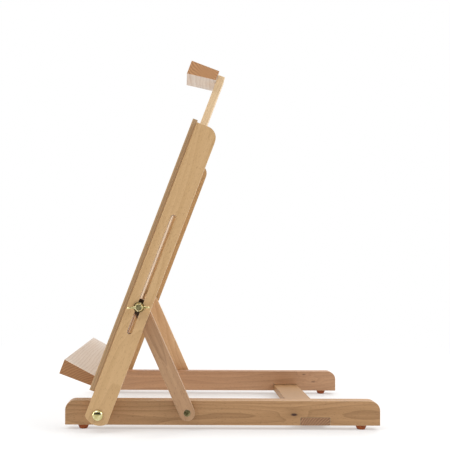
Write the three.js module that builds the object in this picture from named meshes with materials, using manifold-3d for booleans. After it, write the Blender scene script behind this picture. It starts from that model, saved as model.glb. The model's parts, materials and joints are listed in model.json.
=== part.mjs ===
// A wooden table easel. A drawing panel on two slotted uprights tilts on a base of two rails. A strut on
// each side is clamped anywhere along the upright's slot by a wing nut, and a sliding mast with a clamp
// block holds the top of a canvas that stands on the tray.
// Millimetres. X runs across the easel, Y from its front (-) to its rear (+), Z up, feet on Z = 0.
import * as THREE from "three";
import { mergeVertices } from "three/addons/utils/BufferGeometryUtils.js";
import Module from "manifold-3d";

const wasm = await Module();
wasm.setup();

// ---- Fits ----
const seatGap = 0.3; // between faces that touch
const boreGap = 0.3; // all round a shank in its hole

// ---- Base ----
const railLength = 410;
const railHeight = 32;
const railThickness = 18;
const railSpread = 276; // between the middles of the two rails
const railCornerRadius = 13;
const footHeight = 6;
const footTopDiameter = 15;
const footBottomDiameter = 10.5;
const footInset = 23; // from a rail's end to the middle of its foot
const crossBarWidth = 38;
const crossBarThickness = 10;
const crossBarBehindPivot = 261; // from the frame's pivot to the bar's front edge

// ---- Frame pivot ----
const pivotInset = 45.6; // from the rail's front end
const pivotAboveRailBottom = 17.5;
const spacerDiameter = 24;

// ---- Struts ----
const strutPivotBehindPivot = 113;
const strutLength = 150; // between the middles of its two holes
const strutWidth = 20;
const strutThickness = 10;
const strutWasherDiameter = 13.8;
const strutWasherThickness = 0.6;
const strutToUpright = 0.8; // side clearance
const strutHeadRecess = 3.6; // pocket for the clamp bolt's head

// ---- Tilting frame; heights are along the upright, from the frame's pivot ----
const lean = THREE.MathUtils.degToRad(20.7); // from the vertical
const uprightWidth = 30;
const uprightThickness = 15;
const uprightTop = 390.7;
const uprightBottom = 12.7; // below the pivot, at the middle of the rounded end
const uprightBottomSagitta = 6.7;
const slotClearance = 0.25; // each side of the clamp bolt
const slotBottom = 110;
const slotTop = 271;
const panelBottom = 25.3;
const panelAboveUpright = 3.9;
const panelThickness = 6.5;
const panelInset = 6; // from the upright's outer face to the panel's edge
const panelScrewAboveBottom = 35;
const panelScrewBelowTop = 55; // from the upright's top
const trayLength = 308;
const trayBottom = 28.3;
const trayDepth = 44;
const trayFrontThickness = 19.3;
const trayRearThickness = 13.5;
const trayGap = 0.8; // the screws hold it just off the panel
const trayScrewInset = 34; // from the tray's end
const bridgeHeight = 22;
const bridgeThickness = 11.8;
const bridgeBelowTop = 0.7;
const tenonLength = 9;
const tenonShoulder = 3.5; // the tenon is this much smaller all round than the bar

// ---- Mast ----
const mastWidth = 40;
const mastThickness = 10;
const mastAbovePanel = 103.4;
const mastBottom = 138;
const mastSlack = 0.5; // each side in its guides
const grooveDepth = 3.5; // in the panel's back
const guideWidth = 24;
const guideBottom = 62;
const guideBelowBridge = 10;
const keeperBelowBridge = 48;
const keeperHeight = 20;
const keeperThickness = 6;
const stopPinDiameter = 5;
const stopPinReach = 5.5; // stands out behind the mast
const stopPinSeat = 4.7; // inside the mast
const stopPinAboveMastEnd = 8;
const blockLength = 66;
const blockDepth = 43;
const blockFrontThickness = 20;
const blockRearThickness = 14;
const blockAboveMast = 2;
const blockScrewInset = 9; // from the mast's edge

// ---- Hardware ----
const boltDiameter = 6;
const domeDiameter = 14;
const domeHeight = 4.2;
const domeRim = 0.6;
const washerDiameter = 13.6;
const washerThickness = 1.4;
const nutAcross = 10;
const nutHeight = 5;
const clampHeadDiameter = 12;
const clampHeadHeight = 3;
const clampHeadChamfer = 1;
const wingBaseDiameter = 11.4;
const wingTopDiameter = 9;
const wingHubHeight = 6.5;
const wingSpan = 28.4;
const wingHeight = 13;
const wingThickness = 2.6;
const wingTipRadius = 3.5;
const wingRootOverlap = 0.5;
const wingTurn = THREE.MathUtils.degToRad(7); // how far from level the nut is left
const boltBeyondHub = 1.6;
const boltChamfer = 0.6;
const knobDiameter = 26;
const knobThickness = 6.6;
const knobLobes = 8;
const knobLobeDepth = 1.6;
const knobSocketDepth = 3;
const insertDiameter = 9;
const pivotScrew = { head: 8.6, headDepth: 2.6, shank: 4, length: 22 };
const woodScrew = { head: 6, headDepth: 2, shank: 3, length: 25 };
const trayScrew = { head: 6.6, headDepth: 2.2, shank: 3.5, length: 32 };
const blockScrew = { head: 6, headDepth: 2, shank: 3, length: 35 };
const keeperScrew = { head: 5.6, headDepth: 1.8, shank: 2.6, length: 11 };
const footScrew = { head: 5.4, headDepth: 1.6, shank: 2.6, length: 12 };
const footRecessDepth = 2.6;
const screwHeadRim = 0.3; // the flat edge round a countersunk head

// ---- Places worked out from the sizes above ----
const railInner = (railSpread - railThickness) / 2;
const railOuter = railInner + railThickness;
const strutInner = railOuter + strutWasherThickness + 2 * seatGap;
const strutOuter = strutInner + strutThickness;
const uprightInner = strutOuter + strutToUpright;
const uprightOuter = uprightInner + uprightThickness;
const pivotHeight = footHeight + pivotAboveRailBottom;
const panelBack = uprightWidth / 2 + seatGap; // distances in front of the uprights' middle line
const panelFront = panelBack + panelThickness;
const panelTop = uprightTop + panelAboveUpright;
const slotWidth = boltDiameter + 2 * slotClearance;
const trayRear = panelFront + trayGap;
const mastFront = panelBack + grooveDepth - seatGap;
const mastRear = mastFront - mastThickness;
const mastTop = panelTop + mastAbovePanel;
const guideFront = panelBack - seatGap;
const guideRear = mastRear - seatGap;
const keeperFront = guideRear - seatGap;
const bridgeFront = mastRear - seatGap;
const bridgeTop = uprightTop - bridgeBelowTop;
const bridgeMiddle = bridgeTop - bridgeHeight / 2;
const bridgeBottom = bridgeTop - bridgeHeight;
const bridgeRear = bridgeFront - bridgeThickness;
const frontReach = (trayRear + trayDepth) * Math.cos(lean) - trayBottom * Math.sin(lean);
const rearReach = railLength - pivotInset;
const pivotY = (frontReach - rearReach) / 2; // centres the whole easel on Y = 0
const railFrontY = pivotY - pivotInset;
const strutPivotY = pivotY + strutPivotBehindPivot;
// The clamp bolt's place on the upright, from the triangle of pivot, strut pivot and bolt.
const strutReach = Math.sqrt(strutLength ** 2 - (strutPivotBehindPivot * Math.cos(lean)) ** 2);
const clampAlongUpright = strutPivotBehindPivot * Math.sin(lean) + strutReach;
const strutLean = Math.asin((strutPivotBehindPivot * Math.cos(lean)) / strutLength) - lean; // forwards

// ---- Finishes ----
const finishes = {
  paleBeech: { color: 0xd3ab7c, roughness: 0.55, metalness: 0 },
  warmBeech: { color: 0xae8760, roughness: 0.55, metalness: 0 },
  pinkBeech: { color: 0xb8926c, roughness: 0.55, metalness: 0 },
  endGrain: { color: 0xc9a587, roughness: 0.6, metalness: 0 },
  plywood: { color: 0xb9966c, roughness: 0.6, metalness: 0 },
  yellowZinc: { color: 0xc8b878, roughness: 0.3, metalness: 1 },
  darkSteel: { color: 0x8a8a86, roughness: 0.4, metalness: 1 },
  rubber: { color: 0x96553c, roughness: 0.8, metalness: 0 },
  nylon: { color: 0x2b2a28, roughness: 0.5, metalness: 0 },
};

// ---- Building blocks ----
const mergeDistance = 1e-4;
const overrun = 1; // how far a cutter runs past the face that it opens
const screwSides = 12;
const boltSides = 20;
const arcSteps = 8;
const lobeSteps = 6;

function toSolid(geometry) {
  const bare = geometry.clone();
  bare.deleteAttribute("normal");
  bare.deleteAttribute("uv");
  const merged = mergeVertices(bare, mergeDistance);
  return new wasm.Manifold(
    new wasm.Mesh({
      numProp: 3,
      vertProperties: merged.attributes.position.array,
      triVerts: new Uint32Array(merged.index.array),
    }),
  );
}

function toGeometry(solid) {
  const mesh = solid.getMesh();
  const geometry = new THREE.BufferGeometry();
  geometry.setAttribute("position", new THREE.BufferAttribute(new Float32Array(mesh.vertProperties), 3));
  geometry.setIndex(new THREE.BufferAttribute(new Uint32Array(mesh.triVerts), 1));
  geometry.computeVertexNormals();
  return geometry;
}

function cut(geometry, cutters) {
  return toGeometry(cutters.reduce((left, cutter) => left.subtract(toSolid(cutter)), toSolid(geometry)));
}

function join(geometries) {
  const [first, ...others] = geometries.map(toSolid);
  return toGeometry(others.reduce((sum, solid) => sum.add(solid), first));
}

function piece(name, geometry, finish) {
  const mesh = new THREE.Mesh(geometry, new THREE.MeshStandardMaterial(finish));
  mesh.name = name;
  return mesh;
}

// A side outline, drawn as (Y, Z), given a thickness along X from X = 0.
function sidePlate(outline, thickness) {
  const geometry = new THREE.ExtrudeGeometry(outline, {
    depth: thickness,
    bevelEnabled: false,
    curveSegments: arcSteps,
  });
  const turn = new THREE.Matrix4().makeBasis(
    new THREE.Vector3(0, 1, 0),
    new THREE.Vector3(0, 0, 1),
    new THREE.Vector3(1, 0, 0),
  );
  return geometry.applyMatrix4(turn);
}

// A box from its lowest corner to its highest.
function block(low, high) {
  const size = high.map((value, i) => value - low[i]);
  const middle = high.map((value, i) => (value + low[i]) / 2);
  return new THREE.BoxGeometry(...size).translate(...middle);
}

// A turned solid along X, from points of (X, radius) in the order of growing X.
function turned(points, sides) {
  const profile = points.map(([x, radius]) => new THREE.Vector2(radius, x));
  return new THREE.LatheGeometry(profile, sides).rotateZ(-Math.PI / 2);
}

function rod(diameter, from, to, sides) {
  const radius = diameter / 2;
  return turned([[from, 0], [from, radius], [to, radius], [to, 0]], sides);
}

function ring(outerDiameter, innerDiameter, from, to, sides) {
  const outer = outerDiameter / 2;
  const inner = innerDiameter / 2;
  return turned([[from, inner], [from, outer], [to, outer], [to, inner], [from, inner]], sides);
}

const boreFor = (shankDiameter) => shankDiameter + 2 * boreGap;

// Turns something made along +X so that this end faces another way.
const facings = {
  side: (geometry) => geometry,
  front: (geometry) => geometry.rotateZ(-Math.PI / 2),
  back: (geometry) => geometry.rotateZ(Math.PI / 2),
  down: (geometry) => geometry.rotateY(Math.PI / 2),
};

// A countersunk screw with the flat of its head at the origin, facing +X.
function screw(kind) {
  const shank = kind.shank / 2;
  const points = [
    [-kind.length, 0],
    [-kind.length + kind.shank, shank],
    [-kind.headDepth, shank],
    [-screwHeadRim, kind.head / 2],
    [0, kind.head / 2],
    [0, 0],
  ];
  return turned(points, screwSides);
}

// The hole that such a screw needs, all its length, opened past the face.
function screwHole(kind) {
  const shank = kind.shank / 2 + boreGap;
  const head = kind.head / 2 + boreGap;
  const points = [
    [-kind.length - boreGap, 0],
    [-kind.length - boreGap, shank],
    [-kind.headDepth - boreGap, shank],
    [-screwHeadRim - boreGap, head],
    [overrun, head],
    [overrun, 0],
  ];
  return turned(points, screwSides);
}

// ---- Base ----
const footCentres = { front: footInset, rear: railLength - footInset };
const crossBarFront = pivotInset + crossBarBehindPivot; // from the rail's front end
const crossBarMiddle = crossBarFront + crossBarWidth / 2;
const railMiddle = (railInner + railOuter) / 2;

// Its own frame: X from the inner face, Y from the front end, Z from the underside.
function baseRail(name) {
  const notchFront = crossBarFront - seatGap;
  const notchRear = crossBarFront + crossBarWidth + seatGap;
  const notchTop = crossBarThickness + seatGap;
  const cornerHeight = railHeight - railCornerRadius;
  const outline = new THREE.Shape();
  outline.moveTo(0, 0);
  outline.lineTo(notchFront, 0);
  outline.lineTo(notchFront, notchTop);
  outline.lineTo(notchRear, notchTop);
  outline.lineTo(notchRear, 0);
  outline.lineTo(railLength, 0);
  outline.absarc(railLength - railCornerRadius, cornerHeight, railCornerRadius, 0, Math.PI / 2);
  outline.absarc(railCornerRadius, cornerHeight, railCornerRadius, Math.PI / 2, Math.PI);
  outline.closePath();
  const pivotBore = rod(boreFor(boltDiameter), -overrun, railThickness + overrun, boltSides);
  pivotBore.translate(0, pivotInset, pivotAboveRailBottom);
  const strutPilot = screwHole(pivotScrew);
  strutPilot.translate(railThickness + strutOuter - railOuter, pivotInset + strutPivotBehindPivot, 0);
  strutPilot.translate(0, 0, pivotAboveRailBottom);
  const footPilots = Object.values(footCentres).map((centre) =>
    facings.down(screwHole(footScrew)).translate(railThickness / 2, centre, footScrewFace - footHeight),
  );
  const crossBarPilot = facings.down(screwHole(woodScrew));
  crossBarPilot.translate(railThickness / 2, crossBarMiddle, 0);
  const cutters = [pivotBore, strutPilot, crossBarPilot, ...footPilots];
  const mesh = piece(name, cut(sidePlate(outline, railThickness), cutters), finishes.warmBeech);
  mesh.position.set(railInner, railFrontY, footHeight);
  return mesh;
}

function crossBar() {
  const bar = block([-railOuter, 0, 0], [railOuter, crossBarWidth, crossBarThickness]);
  const holes = [-railMiddle, railMiddle].map((x) =>
    facings.down(screwHole(woodScrew)).translate(x, crossBarWidth / 2, 0),
  );
  const mesh = piece("rear_cross_bar", cut(bar, holes), finishes.warmBeech);
  mesh.position.set(0, railFrontY + crossBarFront, footHeight);
  return mesh;
}

const footScrewFace = footRecessDepth - footScrew.headDepth + seatGap; // Z of the head's flat

// A tapered rubber foot with a recess in its underside for the screw's head.
function foot(name) {
  const shank = footScrew.shank / 2 + boreGap;
  const recess = footScrew.head / 2 + boreGap;
  const top = footHeight - seatGap;
  const points = [
    [0, recess],
    [0, footBottomDiameter / 2],
    [top, footTopDiameter / 2],
    [top, shank],
    [footRecessDepth + seatGap, shank],
    [footRecessDepth + seatGap, recess],
    [0, recess],
  ];
  return piece(name, turned(points, boltSides).rotateY(-Math.PI / 2), finishes.rubber);
}

// A pan head screw that faces down; its crown takes a third of the head's depth and radius.
function footScrewPiece(name) {
  const shank = footScrew.shank / 2;
  const points = [
    [-footScrew.length, 0],
    [-footScrew.length + footScrew.shank, shank],
    [-footScrew.headDepth, shank],
    [-footScrew.headDepth, footScrew.head / 2],
    [-footScrew.headDepth / 3, footScrew.head / 2],
    [0, footScrew.head / 3],
    [0, 0],
  ];
  return piece(name, facings.down(turned(points, screwSides)), finishes.darkSteel);
}

// ---- Frame pivot ----
function pivotBolt(name) {
  const shankEnd = railInner - 2 * seatGap - washerThickness - nutHeight - overrun;
  const seat = uprightOuter + seatGap;
  const domeRadius = domeDiameter / 2;
  const bolt = boltDiameter / 2;
  const points = [[shankEnd, 0], [shankEnd, bolt], [seat, bolt], [seat, domeRadius]];
  for (let step = 0; step <= arcSteps; step++) {
    const angle = (step / arcSteps) * (Math.PI / 2);
    points.push([seat + domeRim + (domeHeight - domeRim) * Math.sin(angle), domeRadius * Math.cos(angle)]);
  }
  points[points.length - 1][1] = 0;
  return piece(name, turned(points, boltSides), finishes.yellowZinc);
}

function pivotSpacer(name) {
  const geometry = ring(
    spacerDiameter, boreFor(boltDiameter), railOuter + seatGap, uprightInner - seatGap, boltSides,
  );
  return piece(name, geometry, finishes.paleBeech);
}

function pivotWasher(name) {
  const outer = railInner - seatGap;
  const geometry = ring(washerDiameter, boreFor(boltDiameter), outer - washerThickness, outer, boltSides);
  return piece(name, geometry, finishes.yellowZinc);
}

function pivotNut(name) {
  const outline = new THREE.Shape();
  const corner = nutAcross / 2 / Math.cos(Math.PI / 6);
  for (let side = 0; side < 6; side++) {
    const angle = (side * Math.PI) / 3;
    const put = side ? "lineTo" : "moveTo";
    outline[put](corner * Math.cos(angle), corner * Math.sin(angle));
  }
  outline.closePath();
  const hole = new THREE.Path();
  hole.absarc(0, 0, boreFor(boltDiameter) / 2, 0, 2 * Math.PI, true);
  outline.holes.push(hole);
  const mesh = piece(name, sidePlate(outline, nutHeight), finishes.yellowZinc);
  mesh.position.x = railInner - 2 * seatGap - washerThickness - nutHeight;
  return mesh;
}

// ---- Struts; their own frame has its origin on the lower pivot and Z along the strut ----
function strut(name) {
  const radius = strutWidth / 2;
  const outline = new THREE.Shape();
  outline.absarc(0, 0, radius, Math.PI, 2 * Math.PI);
  outline.absarc(0, strutLength, radius, 0, Math.PI);
  outline.closePath();
  const pivotHole = screwHole(pivotScrew).translate(strutThickness, 0, 0);
  const boltHole = rod(boreFor(boltDiameter), -overrun, strutThickness + overrun, boltSides);
  const headPocket = rod(boreFor(clampHeadDiameter), -overrun, strutHeadRecess, boltSides);
  const cutters = [pivotHole, boltHole.translate(0, 0, strutLength), headPocket.translate(0, 0, strutLength)];
  const mesh = piece(name, cut(sidePlate(outline, strutThickness), cutters), finishes.pinkBeech);
  mesh.position.x = strutInner;
  return mesh;
}

// The clamp bolt's head and the length of its shank inside the strut.
function strutBoltHead(name) {
  const head = strutHeadRecess - seatGap - clampHeadHeight;
  const bolt = boltDiameter / 2;
  const points = [
    [head, 0],
    [head, clampHeadDiameter / 2 - clampHeadChamfer],
    [head + clampHeadChamfer, clampHeadDiameter / 2],
    [head + clampHeadHeight, clampHeadDiameter / 2],
    [head + clampHeadHeight, bolt],
    [strutThickness - seatGap, bolt],
    [strutThickness - seatGap, 0],
  ];
  const mesh = piece(name, turned(points, boltSides), finishes.yellowZinc);
  mesh.position.set(strutInner, 0, strutLength);
  return mesh;
}

function strutScrew(name) {
  const mesh = piece(name, screw(pivotScrew), finishes.yellowZinc);
  mesh.position.set(strutOuter, strutPivotY, pivotHeight);
  return mesh;
}

function strutWasher(name) {
  const from = railOuter + seatGap;
  const geometry = ring(
    strutWasherDiameter, boreFor(pivotScrew.shank), from, from + strutWasherThickness, boltSides,
  );
  const mesh = piece(name, geometry, finishes.yellowZinc);
  mesh.position.set(0, strutPivotY, pivotHeight);
  return mesh;
}

// ---- Clamp: the bolt's outer length with its washer slides in the slot, the wing nut turns on it ----
const clampWasherFace = uprightOuter + 2 * seatGap + washerThickness;

function clampBolt(name) {
  const end = clampWasherFace + wingHubHeight + boltBeyondHub;
  const bolt = boltDiameter / 2;
  const points = [
    [strutOuter + seatGap, 0],
    [strutOuter + seatGap, bolt],
    [end - boltChamfer, bolt],
    [end, bolt - boltChamfer],
    [end, 0],
  ];
  return piece(name, turned(points, boltSides), finishes.yellowZinc);
}

function clampWasher(name) {
  const from = uprightOuter + seatGap;
  const geometry = ring(washerDiameter, boreFor(boltDiameter), from, from + washerThickness, boltSides);
  return piece(name, geometry, finishes.yellowZinc);
}

// Its own frame: X out from the washer, wings along Y.
function wingNut(name) {
  const bore = boreFor(boltDiameter) / 2;
  const hubPoints = [
    [0, bore],
    [0, wingBaseDiameter / 2],
    [wingHubHeight, wingTopDiameter / 2],
    [wingHubHeight, bore],
    [0, bore],
  ];
  const hub = turned(hubPoints, boltSides);
  const root = wingTopDiameter / 2 - wingRootOverlap;
  const tipAcross = wingSpan / 2 - wingTipRadius;
  const tipOut = wingHeight - wingTipRadius;
  const wings = [1, -1].map((sign) => {
    // An arm that rises from the hub's foot to a round tip, and comes back down to the hub's top.
    const outline = new THREE.Shape();
    outline.moveTo(root, wingRootOverlap);
    outline.quadraticCurveTo(tipAcross, wingRootOverlap, tipAcross + wingTipRadius, tipOut);
    outline.absarc(tipAcross, tipOut, wingTipRadius, 0, Math.PI);
    outline.quadraticCurveTo(tipAcross - wingTipRadius, wingHubHeight, root, wingHubHeight - wingRootOverlap);
    outline.closePath();
    const wing = new THREE.ExtrudeGeometry(outline, {
      depth: wingThickness,
      bevelEnabled: false,
      curveSegments: arcSteps / 2,
    });
    // Drawn as (across, out): across goes along +-Y, out along X, and the thickness along Z.
    const turn = new THREE.Matrix4().makeBasis(
      new THREE.Vector3(0, sign, 0),
      new THREE.Vector3(1, 0, 0),
      new THREE.Vector3(0, 0, -sign),
    );
    return wing.applyMatrix4(turn).translate(0, 0, (sign * wingThickness) / 2);
  });
  const mesh = piece(name, join([hub, ...wings]), finishes.yellowZinc);
  mesh.position.x = clampWasherFace + seatGap;
  mesh.rotation.x = lean + wingTurn;
  return mesh;
}

// ---- Tilting frame; its own frame has its origin on the pivot, Z along the upright, front at -Y ----
const panelScrewHeights = {
  lower: panelBottom + panelScrewAboveBottom,
  upper: uprightTop - panelScrewBelowTop,
};
const panelHalfWidth = uprightOuter - panelInset;
const panelScrewX = (uprightInner + panelHalfWidth) / 2;
const trayScrewSpread = trayLength / 2 - trayScrewInset;
const trayScrewHeight = trayBottom + trayRearThickness / 2;

function upright(name) {
  const half = uprightWidth / 2;
  const endRadius = (half ** 2 + uprightBottomSagitta ** 2) / (2 * uprightBottomSagitta);
  const endCentre = endRadius - uprightBottom;
  const cornerAngle = Math.asin(half / endRadius);
  const outline = new THREE.Shape();
  outline.absarc(0, endCentre, endRadius, 1.5 * Math.PI - cornerAngle, 1.5 * Math.PI + cornerAngle);
  outline.absarc(0, uprightTop - half, half, 0, Math.PI / 2);
  outline.lineTo(-half, uprightTop);
  outline.closePath();
  const slot = new THREE.Path();
  const slotRadius = slotWidth / 2;
  slot.absarc(0, slotTop - slotRadius, slotRadius, 0, Math.PI);
  slot.absarc(0, slotBottom + slotRadius, slotRadius, Math.PI, 2 * Math.PI);
  slot.closePath();
  outline.holes.push(slot);
  const pivotBore = rod(boreFor(boltDiameter), -overrun, uprightThickness + overrun, boltSides);
  const screwHoles = Object.values(panelScrewHeights).map((height) =>
    facings.front(screwHole(woodScrew)).translate(panelScrewX - uprightInner, -panelFront, height),
  );
  const tenon = tenonBox(seatGap);
  tenon.translate(-uprightInner, 0, 0);
  const cutters = [pivotBore, ...screwHoles, tenon];
  const mesh = piece(name, cut(sidePlate(outline, uprightThickness), cutters), finishes.paleBeech);
  mesh.position.x = uprightInner;
  return mesh;
}

// The bridge bar's whole tenon, grown by a clearance, in the frame's own frame.
function tenonBox(clearance) {
  const end = uprightInner + tenonLength + clearance;
  const shoulder = tenonShoulder - clearance;
  return block(
    [uprightInner - overrun, -bridgeFront + shoulder, bridgeBottom + shoulder],
    [end, -bridgeRear - shoulder, bridgeTop - shoulder],
  );
}

function bridgeBar() {
  const half = uprightInner - seatGap;
  const bar = block([-half, -bridgeFront, bridgeBottom], [half, -bridgeRear, bridgeTop]);
  const right = tenonBox(0);
  const left = tenonBox(0).rotateY(Math.PI).translate(0, 0, 2 * bridgeMiddle);
  const insertHole = rod(boreFor(insertDiameter), -overrun, bridgeThickness + overrun, boltSides);
  facings.back(insertHole).translate(0, -bridgeFront, bridgeMiddle);
  return piece("bridge_bar", cut(join([bar, right, left]), [insertHole]), finishes.warmBeech);
}

function drawingPanel() {
  const board = block([-panelHalfWidth, -panelFront, panelBottom], [panelHalfWidth, -panelBack, panelTop]);
  const grooveHalf = mastWidth / 2 + mastSlack;
  const grooveEnd = mastBottom - mastTravelDown - seatGap;
  const groove = block(
    [-grooveHalf, -panelBack - grooveDepth, grooveEnd],
    [grooveHalf, -panelBack + overrun, panelTop + overrun],
  );
  const frontHoles = [-panelScrewX, panelScrewX].flatMap((x) =>
    Object.values(panelScrewHeights).map((height) =>
      facings.front(screwHole(woodScrew)).translate(x, -panelFront, height),
    ),
  );
  const trayHoles = [-trayScrewSpread, 0, trayScrewSpread].map((x) =>
    facings.back(screwHole(trayScrew)).translate(x, -panelBack, trayScrewHeight),
  );
  return piece("drawing_panel", cut(board, [groove, ...frontHoles, ...trayHoles]), finishes.plywood);
}

function panelScrew(name, height) {
  const mesh = piece(name, facings.front(screw(woodScrew)), finishes.yellowZinc);
  mesh.position.set(panelScrewX, -panelFront, height);
  return mesh;
}

// A wedge with its rear face at Y = 0: its top slopes down from front to rear, its underside is level.
function wedgeOutline(depth, frontThickness, rearThickness) {
  const outline = new THREE.Shape();
  outline.moveTo(-depth, 0);
  outline.lineTo(0, 0);
  outline.lineTo(0, rearThickness);
  outline.lineTo(-depth, frontThickness);
  outline.closePath();
  return outline;
}

function tray() {
  const outline = wedgeOutline(trayDepth, trayFrontThickness, trayRearThickness);
  const body = sidePlate(outline, trayLength).translate(-trayLength / 2, 0, 0);
  const holes = [-trayScrewSpread, 0, trayScrewSpread].map((x) =>
    facings.back(screwHole(trayScrew)).translate(x, trayRear - panelBack, trayScrewHeight - trayBottom),
  );
  const mesh = piece("tray", cut(body, holes), finishes.endGrain);
  mesh.position.set(0, -trayRear, trayBottom);
  return mesh;
}

function trayScrewPiece(name, x) {
  const mesh = piece(name, facings.back(screw(trayScrew)), finishes.yellowZinc);
  mesh.position.set(x, -panelBack, trayScrewHeight);
  return mesh;
}

// ---- Mast guides ----
const guideInner = mastWidth / 2 + mastSlack;
const keeperScrewX = guideInner + guideWidth / 2;
const keeperTop = bridgeBottom - keeperBelowBridge;
const keeperBottom = keeperTop - keeperHeight;
const keeperMiddle = (keeperTop + keeperBottom) / 2;
const guideTop = bridgeBottom - guideBelowBridge;

function mastGuide(name) {
  const guideOuter = guideInner + guideWidth;
  const batten = block([guideInner, -guideFront, guideBottom], [guideOuter, -guideRear, guideTop]);
  const hole = facings.back(screwHole(keeperScrew));
  hole.translate(keeperScrewX, -keeperFront + keeperThickness, keeperMiddle);
  return piece(name, cut(batten, [hole]), finishes.warmBeech);
}

function mastKeeper() {
  const half = guideInner + guideWidth;
  const bar = block(
    [-half, -keeperFront, keeperBottom],
    [half, -keeperFront + keeperThickness, keeperTop],
  );
  const holes = [-keeperScrewX, keeperScrewX].map((x) =>
    facings.back(screwHole(keeperScrew)).translate(x, -keeperFront + keeperThickness, keeperMiddle),
  );
  return piece("mast_keeper", cut(bar, holes), finishes.warmBeech);
}

function keeperScrewPiece(name) {
  const mesh = piece(name, facings.back(screw(keeperScrew)), finishes.yellowZinc);
  mesh.position.set(keeperScrewX, -keeperFront + keeperThickness, keeperMiddle);
  return mesh;
}

// ---- Mast ----
const blockTop = mastTop + blockAboveMast;
const blockRear = mastFront + seatGap;
const blockSlope = (blockFrontThickness - blockRearThickness) / blockDepth;
const blockOverPanel = blockRearThickness + blockSlope * (panelFront - blockRear); // where it meets the panel
const mastTravelDown = blockTop - blockOverPanel - panelTop;
const blockScrewX = mastWidth / 2 - blockScrewInset;
const blockScrewHeight = blockTop - blockRearThickness / 2;
const stopPinHeight = mastBottom + stopPinAboveMastEnd;

function mast() {
  const half = mastWidth / 2;
  const bar = block([-half, -mastFront, mastBottom], [half, -mastRear, mastTop]);
  const holes = [-blockScrewX, blockScrewX].map((x) =>
    facings.back(screwHole(blockScrew)).translate(x, -mastRear, blockScrewHeight),
  );
  const pinHole = rod(boreFor(stopPinDiameter), -stopPinSeat - seatGap, overrun, screwSides);
  facings.back(pinHole).translate(0, -mastRear, stopPinHeight);
  return piece("mast", cut(bar, [...holes, pinHole]), finishes.paleBeech);
}

function stopPin() {
  const geometry = rod(stopPinDiameter, -stopPinSeat, stopPinReach, screwSides);
  const mesh = piece("stop_pin", facings.back(geometry), finishes.warmBeech);
  mesh.position.set(0, -mastRear, stopPinHeight);
  return mesh;
}

// The tray's wedge turned upside down: level on top, with its underside rising to the rear.
function clampBlock() {
  const outline = wedgeOutline(blockDepth, blockFrontThickness, blockRearThickness);
  const body = sidePlate(outline, blockLength).translate(-blockLength / 2, 0, 0);
  body.rotateY(Math.PI);
  const holes = [-blockScrewX, blockScrewX].map((x) =>
    facings.back(screwHole(blockScrew)).translate(x, blockRear - mastRear, blockScrewHeight - blockTop),
  );
  const mesh = piece("clamp_block", cut(body, holes), finishes.endGrain);
  mesh.position.set(0, -blockRear, blockTop);
  return mesh;
}

function blockScrewPiece(name) {
  const mesh = piece(name, facings.back(screw(blockScrew)), finishes.yellowZinc);
  mesh.position.set(blockScrewX, -mastRear, blockScrewHeight);
  return mesh;
}

// ---- Mast knob: its stud runs in a threaded insert and presses on the mast's back ----
function threadedInsert() {
  const geometry = ring(insertDiameter, boreFor(boltDiameter), 0, bridgeThickness, boltSides);
  const mesh = piece("threaded_insert", facings.back(geometry), finishes.yellowZinc);
  mesh.position.set(0, -bridgeFront, bridgeMiddle);
  return mesh;
}

function knobGrip() {
  const outline = new THREE.Shape();
  const steps = knobLobes * lobeSteps;
  for (let step = 0; step < steps; step++) {
    const angle = (step / steps) * 2 * Math.PI;
    const radius = knobDiameter / 2 - (knobLobeDepth * (1 - Math.cos(knobLobes * angle))) / 2;
    const put = step ? "lineTo" : "moveTo";
    outline[put](radius * Math.cos(angle), radius * Math.sin(angle));
  }
  outline.closePath();
  const socket = rod(boreFor(boltDiameter), -overrun, knobSocketDepth + seatGap, boltSides);
  const grip = cut(sidePlate(outline, knobThickness), [socket]);
  const mesh = piece("knob_grip", facings.back(grip), finishes.nylon);
  mesh.position.set(0, -bridgeRear + seatGap, bridgeMiddle);
  return mesh;
}

function knobStud() {
  const geometry = rod(boltDiameter, 0, bridgeThickness + seatGap + knobSocketDepth, boltSides);
  const mesh = piece("knob_stud", facings.back(geometry), finishes.yellowZinc);
  mesh.position.set(0, -bridgeFront, bridgeMiddle);
  return mesh;
}

// ---- Assembly; everything with a left and a right is made on the right, in a half that is mirrored ----
const easel = new THREE.Group();
const base = new THREE.Group();
const tiltingFrame = new THREE.Group();
tiltingFrame.position.set(0, pivotY, pivotHeight);
tiltingFrame.rotation.x = -lean;
easel.add(base, tiltingFrame);

base.add(crossBar());
tiltingFrame.add(drawingPanel(), bridgeBar(), tray(), mastKeeper(), threadedInsert());
tiltingFrame.add(mast(), clampBlock(), stopPin(), knobGrip(), knobStud());
const trayScrewPlaces = { left: -trayScrewSpread, middle: 0, right: trayScrewSpread };
for (const [place, x] of Object.entries(trayScrewPlaces)) {
  tiltingFrame.add(trayScrewPiece(`tray_screw_${place}`, x));
}

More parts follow.
